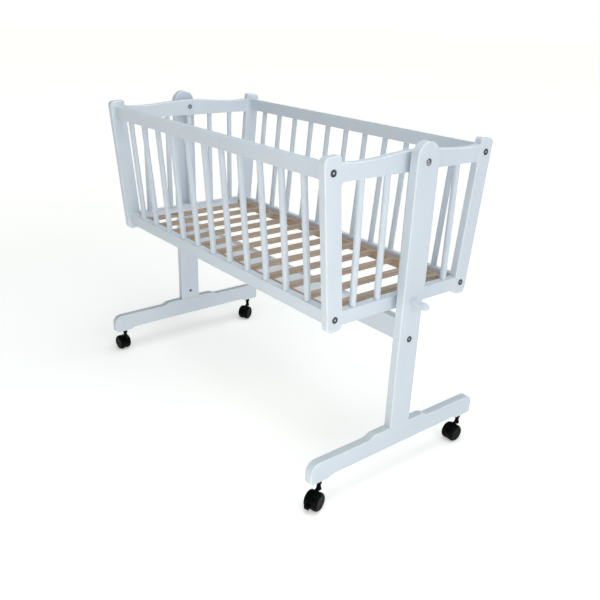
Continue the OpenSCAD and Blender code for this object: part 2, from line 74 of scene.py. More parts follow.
def lean_frame(side):
    """Frame of a leaning side: Z up the side, Y outwards, origin at the lower bolt."""
    m = Matrix.Translation(Vector((0, LOW_Y, LOW_Z))) @ Matrix.Rotation(-LEAN, 4, "X")
    return Matrix.Scale(-1, 4, Vector((0, 1, 0))) @ m if side < 0 else m


def castor_frame(c):
    sx, sy, d = CASTORS[c]
    return Matrix.Translation(Vector((sx * POST_MID, sy * STEM_Y, 0))) @ Matrix.Rotation(math.radians(d), 4, "Z")


# ---------------------------------------------------------------- node helpers
class Net:
    """A short way to write node networks."""

    def __init__(self, name):
        self.mat = bpy.data.materials.new(name)
        self.mat.use_nodes = True
        self.nt = self.mat.node_tree
        self.nt.nodes.clear()
        self.out = self.nt.nodes.new("ShaderNodeOutputMaterial")
        self.bsdf = self.nt.nodes.new("ShaderNodeBsdfPrincipled")
        self.nt.links.new(self.bsdf.outputs[0], self.out.inputs[0])
        self.coord = self.nt.nodes.new("ShaderNodeTexCoord").outputs["Object"]

    def link(self, a, b):
        self.nt.links.new(a, b)

    def mapping(self, scale, loc=(0, 0, 0), src=None, rot=(0, 0, 0)):
        n = self.nt.nodes.new("ShaderNodeMapping")
        n.inputs["Scale"].default_value = scale
        n.inputs["Location"].default_value = loc
        n.inputs["Rotation"].default_value = rot
        self.link(src or self.coord, n.inputs["Vector"])
        return n.outputs[0]

    def noise(self, vec, scale, detail=4.0, rough=0.55, dist=0.0, color=False):
        n = self.nt.nodes.new("ShaderNodeTexNoise")
        n.inputs["Scale"].default_value = scale
        n.inputs["Detail"].default_value = detail
        n.inputs["Roughness"].default_value = rough
        n.inputs["Distortion"].default_value = dist
        self.link(vec, n.inputs["Vector"])
        return n.outputs[1 if color else 0]

    def voronoi(self, vec, scale, rand=1.0, feature="F1", out="Distance"):
        n = self.nt.nodes.new("ShaderNodeTexVoronoi")
        n.feature = feature
        n.inputs["Scale"].default_value = scale
        n.inputs["Randomness"].default_value = rand
        self.link(vec, n.inputs["Vector"])
        return n.outputs[out]

    def ramp(self, fac, stops, interp="LINEAR"):
        n = self.nt.nodes.new("ShaderNodeValToRGB")
        n.color_ramp.interpolation = interp
        el = n.color_ramp.elements
        while len(el) < len(stops):
            el.new(0.5)
        for e, (p, c) in zip(el, stops):
            e.position = p
            e.color = (c, c, c, 1) if not hasattr(c, "__len__") else (*c, 1)
        self.link(fac, n.inputs[0])
        return n.outputs[0]

    def math(self, op, a, b=None, c=None, clamp=False):
        n = self.nt.nodes.new("ShaderNodeMath")
        n.operation = op
        n.use_clamp = clamp
        for i, v in enumerate((a, b, c)):
            if v is None:
                continue
            if hasattr(v, "is_linked"):
                self.link(v, n.inputs[i])
            else:
                n.inputs[i].default_value = v
        return n.outputs[0]

    def mix(self, fac, a, b, kind="MIX"):
        n = self.nt.nodes.new("ShaderNodeMix")
        n.data_type = "RGBA"
        n.blend_type = kind
        n.clamp_factor = True
        for sock, v in ((n.inputs[0], fac), (n.inputs[6], a), (n.inputs[7], b)):
            if hasattr(v, "is_linked"):
                self.link(v, sock)
            elif hasattr(v, "__len__"):
                sock.default_value = (*v, 1)
            else:
                sock.default_value = v
        return n.outputs[2]

    def remap(self, v, a0, a1, b0, b1):
        n = self.nt.nodes.new("ShaderNodeMapRange")
        for i, x in enumerate((a0, a1, b0, b1)):
            n.inputs[i + 1].default_value = x
        self.link(v, n.inputs[0])
        return n.outputs[0]

    def bump(self, height, strength, distance, normal=None):
        n = self.nt.nodes.new("ShaderNodeBump")
        n.inputs["Strength"].default_value = strength
        n.inputs["Distance"].default_value = distance
        self.link(height, n.inputs["Height"])
        if normal is not None:
            self.link(normal, n.inputs["Normal"])
        return n.outputs[0]

    def attr(self, name):
        n = self.nt.nodes.new("ShaderNodeAttribute")
        n.attribute_type = "GEOMETRY"
        n.attribute_name = name
        return n.outputs["Fac"]

    def done(self, color=None, rough=None, normal=None, **fixed):
        b = self.bsdf
        for sock, v in (("Base Color", color), ("Roughness", rough), ("Normal", normal)):
            if v is None:
                continue
            if hasattr(v, "is_linked"):
                self.link(v, b.inputs[sock])
            elif hasattr(v, "__len__"):
                b.inputs[sock].default_value = (*v, 1)
            else:
                b.inputs[sock].default_value = v
        for k, v in fixed.items():
            b.inputs[k.replace("_", " ")].default_value = v
        return self.mat


def stretched(axis, across, along):
    s = [across] * 3
    s["xyz".index(axis)] = along
    return tuple(s)


PAINT_A = (0.652, 0.711, 0.792)
PAINT_B = (0.621, 0.682, 0.764)


def paint(axis):
    """Satin white paint on planed wood: the grain shows faintly through it."""
    n = Net("white_paint_" + axis)
    grain = n.noise(n.mapping(stretched(axis, 260, 7)), 1.0, 6, 0.62, 0.35)
    broad = n.noise(n.mapping(stretched(axis, 26, 2.4), (3.1, 1.7, 5.3)), 1.0, 3, 0.5, 0.8)
    peel = n.noise(n.coord, 620, 2, 0.5)
    cloud = n.noise(n.coord, 5.5, 4, 0.6)
    col = n.mix(n.ramp(cloud, [(0.32, 0.0), (0.72, 1.0)]), PAINT_A, PAINT_B)
    # faint lines where the pores take less paint
    col = n.mix(n.ramp(grain, [(0.60, 0.0), (0.80, 0.16)]), col, (0.56, 0.59, 0.60))
    col = n.mix(n.ramp(broad, [(0.52, 0.0), (0.75, 0.07)]), col, (0.60, 0.615, 0.60))
    # painted highlight: the rounded edges are lightened to stand in for the light they catch
    col = n.mix(n.math("MULTIPLY", n.attr("edge"), 0.55), col, (0.85, 0.885, 0.93))
    # thin, slightly rubbed paint along them
    rub = n.math("MULTIPLY", n.attr("edge"), n.ramp(n.noise(n.coord, 46, 5, 0.7), [(0.50, 0.0), (0.72, 0.40)]))
    col = n.mix(rub, col, (0.60, 0.585, 0.54))
    # tiny specks of dust under the paint
    speck = n.ramp(n.voronoi(n.coord, 92), [(0.0, 0.55), (0.045, 0.0)])
    col = n.mix(n.math("MULTIPLY", speck, n.ramp(n.noise(n.coord, 14, 2), [(0.56, 0.0), (0.66, 1.0)])), col, (0.50, 0.50, 0.48))
    rough = n.remap(n.math("ADD", n.math("MULTIPLY", cloud, 0.6), n.math("MULTIPLY", grain, 0.4)), 0.3, 0.7, 0.28, 0.42)
    rough = n.math("SUBTRACT", rough, n.math("MULTIPLY", n.attr("edge"), 0.08))
    b = n.bump(grain, 0.22, 0.00035)
    b = n.bump(broad, 0.18, 0.0009, b)
    b = n.bump(peel, 0.07, 0.00025, b)
    return n.done(col, rough, b, Specular_IOR_Level=0.45)


def softwood(name, axis, light, dark, knots=0.0, seed=0.0, depth=1.0):
    """Bare planed softwood: growth rings cut along the board, fibres, a tone of its own for each board."""
    n = Net(name)
    off = (seed, seed * 1.7, seed * 0.6)
    warp = n.noise(n.mapping(stretched(axis, 20, 2.2), off), 1.0, 3, 0.5, 0.4)
    bands_in = n.mapping(stretched(axis, 95, 4.5), off)
    rings = n.noise(bands_in, 1.0, 2.5, 0.45, 1.1)
    saw = n.math("FRACT", n.math("MULTIPLY", n.math("ADD", rings, n.math("MULTIPLY", warp, 0.8)), 6.5))
    late = n.ramp(saw, [(0.0, 0.0), (0.62, 0.45), (0.86, 1.0), (0.93, 0.9), (1.0, 0.0)], "EASE")
    fibre = n.noise(n.mapping(stretched(axis, 900, 26), off), 1.0, 5, 0.7)
    col = n.mix(late, light, dark)
    col = n.mix(n.ramp(fibre, [(0.35, 0.30), (0.62, 0.0)]), col, tuple(0.62 * c for c in dark))
    tone = n.attr("tone")
    col = n.mix(n.math("MULTIPLY", tone, 0.55), col, tuple(0.66 * c for c in light))
    # greyed and handled patches
    grey = n.ramp(n.noise(n.coord, 9, 4, 0.6), [(0.45, 0.0), (0.72, 0.32)])
    col = n.mix(grey, col, (0.40, 0.355, 0.31))
    height = n.math("ADD", n.math("MULTIPLY", late, 0.5), n.math("MULTIPLY", fibre, 0.6))
    if knots:
        cell = n.mapping(stretched(axis, 14, 5.2), (0.37 + seed, 0.11, 0.73))
        d = n.voronoi(cell, 1.0, 1.0)
        pick = n.ramp(n.noise(n.mapping(stretched(axis, 3, 1.6), (5.0, seed, 2.0)), 1.0, 1, 0.5), [(0.50, 0.0), (0.56, 1.0)])
        halo = n.math("MULTIPLY", n.ramp(d, [(0.0, 1.0), (0.14, 0.75), (0.30, 0.0)]), pick)
        core = n.math("MULTIPLY", n.ramp(d, [(0.0, 1.0), (0.085, 0.9), (0.12, 0.0)]), pick)
        col = n.mix(n.math("MULTIPLY", halo, 0.55 * knots), col, tuple(0.62 * c for c in dark))
        col = n.mix(n.math("MULTIPLY", core, 0.9 * knots), col, (0.115, 0.055, 0.025))
        height = n.math("SUBTRACT", height, n.math("MULTIPLY", core, 0.4))
    # end grain and arrises a little darker
    col = n.mix(n.math("MULTIPLY", n.attr("edge"), 0.25), col, tuple(0.5 * c for c in dark))
    rough = n.remap(fibre, 0.3, 0.7, 0.62, 0.80)
    return n.done(col, rough, n.bump(height, 0.45 * depth, 0.00035), Specular_IOR_Level=0.3)


def metal(name, base, r0, r1, scratch=0.3, socket_highlight=(0.62, 0.66, 0.70)):
    n = Net(name)
    cloud = n.noise(n.coord, 160, 5, 0.6)
    fine = n.noise(n.coord, 2600, 3, 0.6)
    lines = n.noise(n.mapping((3200, 3200, 180)), 1.0, 3, 0.6, 0.5)
    col = n.mix(n.ramp(cloud, [(0.35, 0.0), (0.70, 0.55)]), base, tuple(0.72 * c for c in base))
    col = n.mix(n.math("MULTIPLY", n.ramp(lines, [(0.60, 0.0), (0.72, 1.0)]), scratch), col, tuple(min(1, 1.25 * c) for c in base))
    # painted highlight: faces marked tone, the bolts' hex sockets, are made light grey in place of the reflection they
    # show
    col = n.mix(n.attr("tone"), col, socket_highlight)
    rough = n.remap(n.math("ADD", n.math("MULTIPLY", cloud, 0.5), n.math("MULTIPLY", fine, 0.5)), 0.35, 0.65, r0, r1)
    return n.done(col, rough, n.bump(n.math("ADD", fine, lines), 0.10, 0.00006), Metallic=1.0)


def plastic():
    """Black moulded plastic: soft gloss, fine mould texture, dust and scuffs."""
    n = Net("black_plastic")
    mould = n.noise(n.coord, 1500, 3, 0.6)
    flow = n.noise(n.coord, 60, 4, 0.6)
    scuff = n.ramp(n.noise(n.mapping((90, 90, 420)), 1.0, 4, 0.65), [(0.60, 0.0), (0.74, 0.7)])
    dust = n.ramp(n.noise(n.coord, 34, 5, 0.7), [(0.42, 0.0), (0.78, 0.55)])
    col = n.mix(dust, (0.0014, 0.0016, 0.0020), (0.0046, 0.0051, 0.0058))
    col = n.mix(n.math("MULTIPLY", scuff, 0.25), col, (0.011, 0.012, 0.013))
    rough = n.remap(n.math("ADD", n.math("MULTIPLY", flow, 0.7), n.math("MULTIPLY", mould, 0.3)), 0.3, 0.7, 0.22, 0.38)
    b = n.bump(flow, 0.12, 0.0006)
    return n.done(col, rough, n.bump(mould, 0.16, 0.00008, b), Specular_IOR_Level=0.05)


def turned():
    """Plain beech of the dowels."""
    return softwood("turned_beech", "x", (0.62, 0.46, 0.29), (0.46, 0.31, 0.18), 0.0, 4.0)


MATS = {
    "px": paint("x"), "py": paint("y"), "pz": paint("z"),
    "slat": softwood("slat_softwood", "y", (0.532, 0.411, 0.318), (0.375, 0.277, 0.212), 0.55, 1.3, 1.0),
    "batten": softwood("batten_pine", "x", (0.50, 0.346, 0.240), (0.360, 0.218, 0.136), 1.0, 2.9, 1.0),
    "dowel": turned(),
    "zinc": metal("zinc_plated_steel", (0.085, 0.098, 0.118), 0.20, 0.36),
    "chrome": metal("polished_chrome", (0.29, 0.31, 0.34), 0.07, 0.15, 0.15),
    "black": plastic(),
}


# ---------------------------------------------------------------- mesh helpers
def prism(outline, w0, w1, plane="YZ"):
    """An outline drawn in a plane, in millimetres, pushed along the third axis."""
    bm = bmesh.new()

    def at(u, v, w):
        return (w, u, v) if plane == "YZ" else (u, w, v) if plane == "XZ" else (u, v, w)

    a = [bm.verts.new(at(u, v, w0)) for u, v in outline]
    b = [bm.verts.new(at(u, v, w1)) for u, v in outline]
    bm.faces.new(a[::-1])
    bm.faces.new(b)
    k = len(outline)
    for i in range(k):
        bm.faces.new((a[i], a[(i + 1) % k], b[(i + 1) % k], b[i]))
    bmesh.ops.recalc_face_normals(bm, faces=bm.faces)
    return bm


def round_edges(bm, r, seg=3, skip=None, least=28):
    """Rounds every edge sharper than the angle, and marks the new faces in the attribute edge."""
    layer = bm.faces.layers.float.get("edge") or bm.faces.layers.float.new("edge")
    bm.normal_update()
    pick = []
    for e in bm.edges:
        if len(e.link_faces) != 2 or math.degrees(e.calc_face_angle(0)) < least:
            continue
        if skip and skip(e.verts[0].co) and skip(e.verts[1].co):
            continue
        pick.append(e)
    res = bmesh.ops.bevel(bm, geom=pick, offset=r, offset_type="OFFSET", segments=seg, profile=0.5, affect="EDGES", clamp_overlap=False)
    for f in res["faces"]:
        if f.is_valid:
            f[layer] = 1.0
    return bm


def lathe(profile, seg=48, axis="Z"):
    """Turns a closed profile of (radius, height) round the axis. The ends lie on the axis."""
    bm = bmesh.new()
    rings = []
    for r, z in profile:
        if r < 1e-6:
            rings.append([bm.verts.new((0, 0, z))])
        else:
            rings.append([bm.verts.new((r * math.cos(2 * math.pi * i / seg), r * math.sin(2 * math.pi * i / seg), z)) for i in range(seg)])
    for p, q in zip(rings, rings[1:]):
        for i in range(seg):
            j = (i + 1) % seg
            if len(p) == 1 and len(q) == 1:
                continue
            if len(p) == 1:
                bm.faces.new((p[0], q[i], q[j]))
            elif len(q) == 1:
                bm.faces.new((p[i], q[0], p[j]))
            else:
                bm.faces.new((p[i], q[i], q[j], p[j]))
    bmesh.ops.recalc_face_normals(bm, faces=bm.faces)
    if axis == "X":
        bmesh.ops.transform(bm, matrix=Matrix.Rotation(math.radians(90), 4, "Y"), verts=bm.verts)
    if axis == "Y":
        bmesh.ops.transform(bm, matrix=Matrix.Rotation(math.radians(-90), 4, "X"), verts=bm.verts)
    return bm


def arc(cu, cv, r, a0, a1, n):
    return [(cu + r * math.cos(math.radians(a0 + (a1 - a0) * i / n)), cv + r * math.sin(math.radians(a0 + (a1 - a0) * i / n))) for i in range(n + 1)]


def convex(points):
    """Outline of the smallest convex shape that holds the points, anticlockwise."""
    pts = sorted(points)

    def half(seq):
        h = []
        for p in seq:
            while len(h) > 1 and (h[-1][0] - h[-2][0]) * (p[1] - h[-2][1]) - (h[-1][1] - h[-2][1]) * (p[0] - h[-2][0]) <= 1e-9:
                h.pop()
            h.append(p)
        return h[:-1]

    return half(pts) + half(pts[::-1])


def moved(bm, m):
    bmesh.ops.transform(bm, matrix=m, verts=bm.verts)
    if m.determinant() < 0:
        bmesh.ops.reverse_faces(bm, faces=bm.faces)
    return bm


def joined(parts):
    """Several bmeshes as one."""
    out = bmesh.new()
    out.faces.layers.float.new("edge")
    out.faces.layers.float.new("tone")
    for p in parts:
        me = bpy.data.meshes.new("part")
        p.to_mesh(me)
        p.free()
        out.from_mesh(me)
        bpy.data.meshes.remove(me)
    return out


def to_object(name, bm):
    for k in ("edge", "tone"):
        if bm.faces.layers.float.get(k) is None:
            bm.faces.layers.float.new(k)
    bmesh.ops.transform(bm, matrix=Matrix.Scale(MM, 4), verts=bm.verts)
    me = bpy.data.meshes.new(name)
    bm.to_mesh(me)
    bm.free()
    ob = bpy.data.objects.new(name, me)
    scene.collection.objects.link(ob)
    return ob


def cut(ob, cutters, how="DIFFERENCE"):
    """Takes the cutters out of the object's mesh, or adds them to it, and keeps the result as its mesh."""
    c = to_object("cutter", joined(cutters))
    m = ob.modifiers.new("cut", "BOOLEAN")
    m.operation, m.solver, m.object = how, "EXACT", c
    m.use_self = how == "UNION"
    dg = bpy.context.evaluated_depsgraph_get()
    me = bpy.data.meshes.new_from_object(ob.evaluated_get(dg))
    ob.modifiers.clear()
    old = ob.data
    ob.data = me
    me.name = ob.name
    bpy.data.meshes.remove(old)
    bpy.data.objects.remove(c)
    return ob


def piece(ob, body, nodes, mat, smooth=34):
    me = ob.data
    me.materials.clear()
    me.materials.append(MATS[mat])
    me.polygons.foreach_set("material_index", [0] * len(me.polygons))
    me.polygons.foreach_set("use_smooth", [True] * len(me.polygons))
    me.set_sharp_from_angle(angle=math.radians(smooth))
    w = ob.modifiers.new("flat faces", "WEIGHTED_NORMAL")
    w.keep_sharp = True
    w.weight = 100
    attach(ob, body)
    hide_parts(*([nodes] if isinstance(nodes, str) else nodes))
    return ob


def hole_x(x0, x1, y, z, r, seg=40):
    return moved(lathe([(0, 0), (r, 0), (r, x1 - x0), (0, x1 - x0)], seg, "X"), Matrix.Translation(Vector((x0, y, z))))


def hole_y(y0, y1, x, z, r, seg=40):
    return moved(lathe([(0, 0), (r, 0), (r, y1 - y0), (0, y1 - y0)], seg, "Y"), Matrix.Translation(Vector((x, y0, z))))


def hole_z(z0, z1, x, y, r, seg=40):
    return moved(lathe([(0, 0), (r, 0), (r, z1 - z0), (0, z1 - z0)], seg), Matrix.Translation(Vector((x, y, z0))))


MIRROR_X = Matrix.Scale(-1, 4, Vector((1, 0, 0)))
MIRROR_Y = Matrix.Scale(-1, 4, Vector((0, 1, 0)))


def end(bm, s):
    return moved(bm, MIRROR_X) if s < 0 else bm


def side(bm, s):
    return moved(bm, MIRROR_Y) if s < 0 else bm


# ---------------------------------------------------------------- stand
def stand_post(name, s, peg):
    r, c = POST_W / 2, PIVOT + 42 - POST_W / 2
    out = [(-r, POST_BASE), (r, POST_BASE)] + arc(0, c, r, 0, 180, 44)
    bm = round_edges(prism(out, POST_IN, POST_OUT), 2.3, 4, skip=lambda p: p.z < POST_BASE + 0.01)
    ob = to_object(name, end(bm, s))
    cuts = [hole_x(POST_OUT - 1, POST_OUT + 3, 0, 363, 7.7), hole_x(POST_IN - 3, POST_MID + 7.6, 0, POST_BASE + 25, 5.05)]
    if peg:
        cuts.append(hole_x(POST_IN - 3, POST_OUT + 3, 0, PEG_Z, 6.08))
    cut(ob, [end(c_, s) for c_ in cuts])
    return piece(ob, "stand", name, "pz")


stand_post("post_left", -1, False).name = "stand_post_left"
stand_post("post_right", 1, True).name = "stand_post_right"


def foot_top(y):
    return POST_BASE - 8.5 * ease((y - 80) / 26)


def foot_low(y):
    return 78 - 6.5 * ease((y - FOOT_HALF + 76) / 28)


def foot(name, s):
    h = [(80 + i, foot_top(80 + i)) for i in range(0, 27, 2)]
    h += arc(FOOT_HALF - 25, 100.5, 25, 90, 0, 14)
    h += arc(FOOT_HALF - 8, 79.5, 8, 0, -90, 7)
    h += [(FOOT_HALF - 76 + i, foot_low(FOOT_HALF - 76 + i)) for i in range(28, -1, -2)]
    out = h + [(-y, z) for y, z in h[::-1]]
    bm = round_edges(prism(out, POST_IN, POST_OUT), 2.3, 4)
    ob = to_object(name, end(bm, s))
    cut(ob, [end(hole_z(70, 85, POST_MID, 0, 7.7), s)])
    return piece(ob, "stand", name, "py")


foot("foot_left", -1).name = "stand_foot_left"
foot("foot_right", 1).name = "stand_foot_right"


def bar_x(x0, x1, w, h, r, seg=4, cap=0.0):
    """Straight bar along X with rounded long edges."""
    out = [(-w / 2, -h / 2), (w / 2, -h / 2), (w / 2, h / 2), (-w / 2, h / 2)]
    ends = (lambda p: abs(p.x - x0) < 0.01 or abs(p.x - x1) < 0.01)
    return round_edges(prism(out, x0, x1), r, seg, skip=ends)


ob = to_object("stretcher_board", moved(bar_x(-POST_IN, POST_IN, 22, 52, 2.8), Matrix.Translation(Vector((0, 0, 379)))))
cut(ob, [hole_y(-7.3, 14, x, 363, 5.05) for x in (-448, 448)])
piece(ob, "stand", "stretcher", "px")


def bolt(face, tip):
    """Flat furniture bolt along X: rounded rim, shallow cup, hex socket cut later."""
    prof = [(0, tip), (2.4, tip), (3.0, tip + 0.8), (3.0, face - 1.0), (7.3, face - 1.0), (7.3, face + 0.6), (7.15, face + 1.05),
            (6.8, face + 1.3), (6.3, face + 1.4), (5.8, face + 1.3), (5.0, face + 0.95), (4.0, face + 0.75), (0, face + 0.7)]
    return lathe(prof, 56, "X")


def hex_cut(x0, x1, r):
    """Socket cutter. Its faces carry the attribute tone, so the socket is painted light grey: a painted highlight in
    place of the reflection it shows.
    """
    bm = lathe([(0, 0), (r, 0), (r, x1 - x0), (0, x1 - x0)], 6, "X")
    tone = bm.faces.layers.float.new("tone")
    for f in bm.faces:
        f[tone] = 1.0
    return moved(bm, Matrix.Translation(Vector((x0, 0, 0))))


def bolts(name, nodes, body, places):
    """places: list of (matrix, face, tip)."""
    ob = to_object(name, joined([moved(bolt(f, t), m) for m, f, t in places]))
    cut(ob, [moved(hex_cut(f - 0.95, f + 3, 2.7), m) for m, f, t in places])
    return piece(ob, body, nodes, "zinc", 30)


ENDS = {1: Matrix.Identity(4), -1: MIRROR_X}
bolts("stretcher_bolt_heads", "stretcher_bolts", "stand",
      [(ENDS[s] @ Matrix.Translation(Vector((0, 0, 363))), POST_OUT, POST_IN - 45) for s in (-1, 1)])
bolts("corner_bolt_heads", "corner_bolts", "cradle",
      [(ENDS[s] @ lean_frame(k) @ Matrix.Translation(Vector((0, 0, z))), CORNER_OUT, CORNER_IN - 31)
       for s in (-1, 1) for k in (-1, 1) for z in (0, RISE)])


def pivot_bolt():
    """Domed chrome head with a thin rim, and its shank."""
    prof = [(0, -41), (3, -41), (3, -0.01), (8, 0), (8, 0.55), (7.85, 0.8)]
    prof += [(10 * math.cos(math.radians(a)), 10 * math.sin(math.radians(a)) - 5.2) for a in range(41, 90, 6)]
    return lathe(prof + [(0, 4.8)], 64, "X")


def sleeve():
    x = RAIL_X - RAIL_T / 2
    prof = [(0, x + 1.1), (2.9, x + 1.1), (2.9, x - 1.9), (3.3, x - 2.3), (5.9, x - 2.3), (6.4, x - 1.9), (6.5, x - 1.4), (6.5, x - 0.3),
            (5, x - 0.3), (5, POST_OUT - 3), (3.1, POST_OUT - 3), (3.1, x + 7), (0, x + 7)]
    return lathe(prof, 48, "X")


up = Matrix.Translation(Vector((0, 0, PIVOT)))
piece(to_object("pivot_bolt_domes", joined([moved(pivot_bolt(), ENDS[s] @ up @ Matrix.Translation(Vector((POST_OUT, 0, 0)))) for s in (-1, 1)])),
      "stand", "pivot_bolts", "chrome", 30)
piece(to_object("pivot_sleeve_nuts", joined([moved(sleeve(), ENDS[s] @ up) for s in (-1, 1)])), "stand", "pivot_sleeves", "chrome", 30)


# ---------------------------------------------------------------- locking peg
def peg_r(d):
    if d < 33:
        return 6.7 + 1.1 * ease((8 - d) / 5) + 2.4 * ease((d - 12) / 18)
    return 9.1 * math.sqrt(max(0.0, 1 - ((d - 33) / 13) ** 2))


def peg():
    """Shank in the post, then the turned handle: collar, waist, swelling, rounded end."""
    prof = [(0, POST_IN), (5.2, POST_IN), (6, POST_IN + 0.8), (6, POST_OUT + 0.3), (7.2, POST_OUT + 0.3), (7.6, POST_OUT + 0.7)]
    for i in range(2, 42):
        d = 46 * math.sin(math.radians(90 * i / 42))
        prof.append((peg_r(d), POST_OUT + d))
    return lathe(prof + [(0, POST_OUT + 46)], 64, "X")


piece(to_object("peg_turned", moved(peg(), Matrix.Translation(Vector((0, 0, PEG_Z))))), "lock_peg", "lock_peg", "px", 50)


# ---------------------------------------------------------------- cradle ends
def corner_post(name, s, k):
    w, t = CORNER_W / 2, RISE + 31.7
    out = arc(-w + 14, -15.3, 14, 180, 270, 12) + arc(w - 14, -15.3, 14, 270, 360, 12)
    out += arc(w - 12, t - 12, 12, 0, 90, 11) + arc(-w + 6, t - 6, 6, 90, 180, 8)
    bm = round_edges(prism(out, CORNER_IN, CORNER_OUT), 2.2, 4)
    m = ENDS[s] @ lean_frame(k)
    ob = to_object(name, moved(bm, m))
    cut(ob, [moved(hole_x(CORNER_OUT - 1, CORNER_OUT + 3, 0, z, 7.7), m) for z in (0, RISE)])
    return piece(ob, "cradle", name, "pz")


for tag, s, k in (("fl", -1, -1), ("fr", 1, -1), ("rl", -1, 1), ("rr", 1, 1)):
    corner_post("corner_post_" + tag, s, k).name = "cradle_corner_" + tag


def end_top_rail(name, s):
    zt = PIVOT - 24.5
    e0, e1 = post_edge(zt), post_edge(crest(210))
    p = [(e0, zt), (e1, crest(e1))] + [(i, crest(i)) for i in range(205, 0, -5)]
    out = p + [(-y, z) for y, z in p[::-1]]
    bm = prism(out, RAIL_X - RAIL_T / 2, RAIL_X + RAIL_T / 2)
    bm = round_edges(bm, 2.6, 4, skip=lambda q: abs(abs(q.y) - post_edge(q.z)) < 0.05, least=20)
    return piece(to_object(name, end(bm, s)), "cradle", name, "py")


end_top_rail("end_top_rail_left", -1).name = "cradle_end_top_left"
end_top_rail("end_top_rail_right", 1).name = "cradle_end_top_right"


def end_lower_rail(name, s, peg_hole):
    z0, z1 = LOW_Z - 16.1, LOW_Z + 15.9
    out = [(-post_edge(z0), z0), (post_edge(z0), z0), (post_edge(z1), z1), (-post_edge(z1), z1)]
    bm = prism(out, RAIL_X - RAIL_T / 2, RAIL_X + RAIL_T / 2)
    bm = round_edges(bm, 2.8, 4, skip=lambda q: abs(abs(q.y) - post_edge(q.z)) < 0.05)
    ob = to_object(name, end(bm, s))
    if peg_hole:
        cut(ob, [hole_x(RAIL_X - 15, RAIL_X + 15, 0, PEG_Z, 6.3)])
    return piece(ob, "cradle", name, "py")


end_lower_rail("end_lower_rail_left", -1, False).name = "cradle_end_low_left"
end_lower_rail("end_lower_rail_right", 1, True).name = "cradle_end_low_right"


def round_bar(z0, z1, r=7.5):
    """Turned bar between two rails: its ends are set just into the rails, with a bead of paint round them."""
    prof = [(0, z0 - 0.8), (r + 0.5, z0 - 0.8), (r + 0.5, z0), (r + 0.18, z0 + 0.35), (r, z0 + 1.0)]
    steps = 8
    prof += [(r, z0 + 1 + (z1 - z0 - 2) * i / steps) for i in range(1, steps)]
    prof += [(r, z1 - 1.0), (r + 0.18, z1 - 0.35), (r + 0.5, z1), (r + 0.5, z1 + 0.8), (0, z1 + 0.8)]
    return lathe(prof, 40)


def end_bars(name, s):
    bars = [moved(round_bar(LOW_Z + 15.9, PIVOT - 24.5), Matrix.Translation(Vector((RAIL_X, (i - 2) * 73.5, 0)))) for i in range(5)]
    ob = to_object(name, end(joined(bars), s))
    return piece(ob, "cradle", name, "pz", 50)


end_bars("end_bars_left", -1).name = "cradle_bars_left"
end_bars("end_bars_right", 1).name = "cradle_bars_right"


# ---------------------------------------------------------------- cradle sides
def side_rail(name, k, z):
    bm = moved(bar_x(-CORNER_IN, CORNER_IN, RAIL_T, RAIL_H, 3.6), Matrix.Translation(Vector((0, 0, z))))
    m = lean_frame(k)
    ob = to_object(name, moved(bm, m))
    cut(ob, [moved(hole_z(z - 19, z + 7.3, x, 0, 5.05), m) for x in (-430, 430)])
    return piece(ob, "cradle", name, "px")


side_rail("side_top_rail_front", -1, RISE).name = "cradle_side_top_front"
side_rail("side_top_rail_rear", 1, RISE).name = "cradle_side_top_rear"
side_rail("side_lower_rail_front", -1, 0).name = "cradle_side_low_front"
side_rail("side_lower_rail_rear", 1, 0).name = "cradle_side_low_rear"


def side_bars(name, k):
    m = lean_frame(k)
    bars = [moved(round_bar(16, RISE - 16), m @ Matrix.Translation(Vector(((i - 5) * 76, 0, 0)))) for i in range(11)]
    return piece(to_object(name, joined(bars)), "cradle", name, "pz", 50)


side_bars("side_bars_front", -1).name = "cradle_bars_front"
side_bars("side_bars_rear", 1).name = "cradle_bars_rear"


# ---------------------------------------------------------------- slatted base
SLAT_X = [(i - 5.5) * SLAT_PITCH for i in range(12)]
TONES = [0.15, 0.6, 0.3, 0.85, 0.4, 0.1, 0.7, 0.25, 0.9, 0.45, 0.05, 0.55]


def slats():
    parts = []
    for i, x in enumerate(SLAT_X):
        out = [(-10, SLAT_TOP - 10), (10, SLAT_TOP - 10), (10, SLAT_TOP), (-10, SLAT_TOP)]
        half = BATTEN_Y + 9.75
        bm = round_edges(prism([(x + u, v) for u, v in out], -half, half, "XZ"), 1.3, 3)
        tone = bm.faces.layers.float.new("tone")
        for f in bm.faces:
            f[tone] = TONES[i]
        parts.append(bm)
    return piece(to_object("base_slats", joined(parts)), "cradle", "slats", "slat")


slats()


def batten(name, k):
    zt, zb = SLAT_TOP, SLAT_TOP - 20
    top = []
    for x in SLAT_X:
        top += [(x - 10.1, zt), (x - 10.1, zt - 10), (x + 10.1, zt - 10), (x + 10.1, zt)]
    out = [(-CORNER_IN + 1, zb), (-CORNER_IN + 1, zt)] + top + [(CORNER_IN - 1, zt), (CORNER_IN - 1, zb)]
    y0, y1 = BATTEN_Y - 10.25, BATTEN_Y + 10.25
    bm = round_edges(prism(out[::-1], y0, y1, "XZ"), 0.9, 2)
    ob = to_object(name, side(bm, k))
    cuts = [hole_y(y0 - 2, y0 + 2.3, i * SLAT_PITCH, zt - 15, 4.1, 28) for i in (-5, -2, 2, 5)]
    cuts += [hole_z(zb - 2, zb + 2.0, x, BATTEN_Y, 3.6, 24) for x in SLAT_X]
    cut(ob, [side(c, k) for c in cuts])
    return piece(ob, "cradle", name, "batten")


batten("batten_front", -1).name = "base_batten_front"
batten("batten_rear", 1).name = "base_batten_rear"


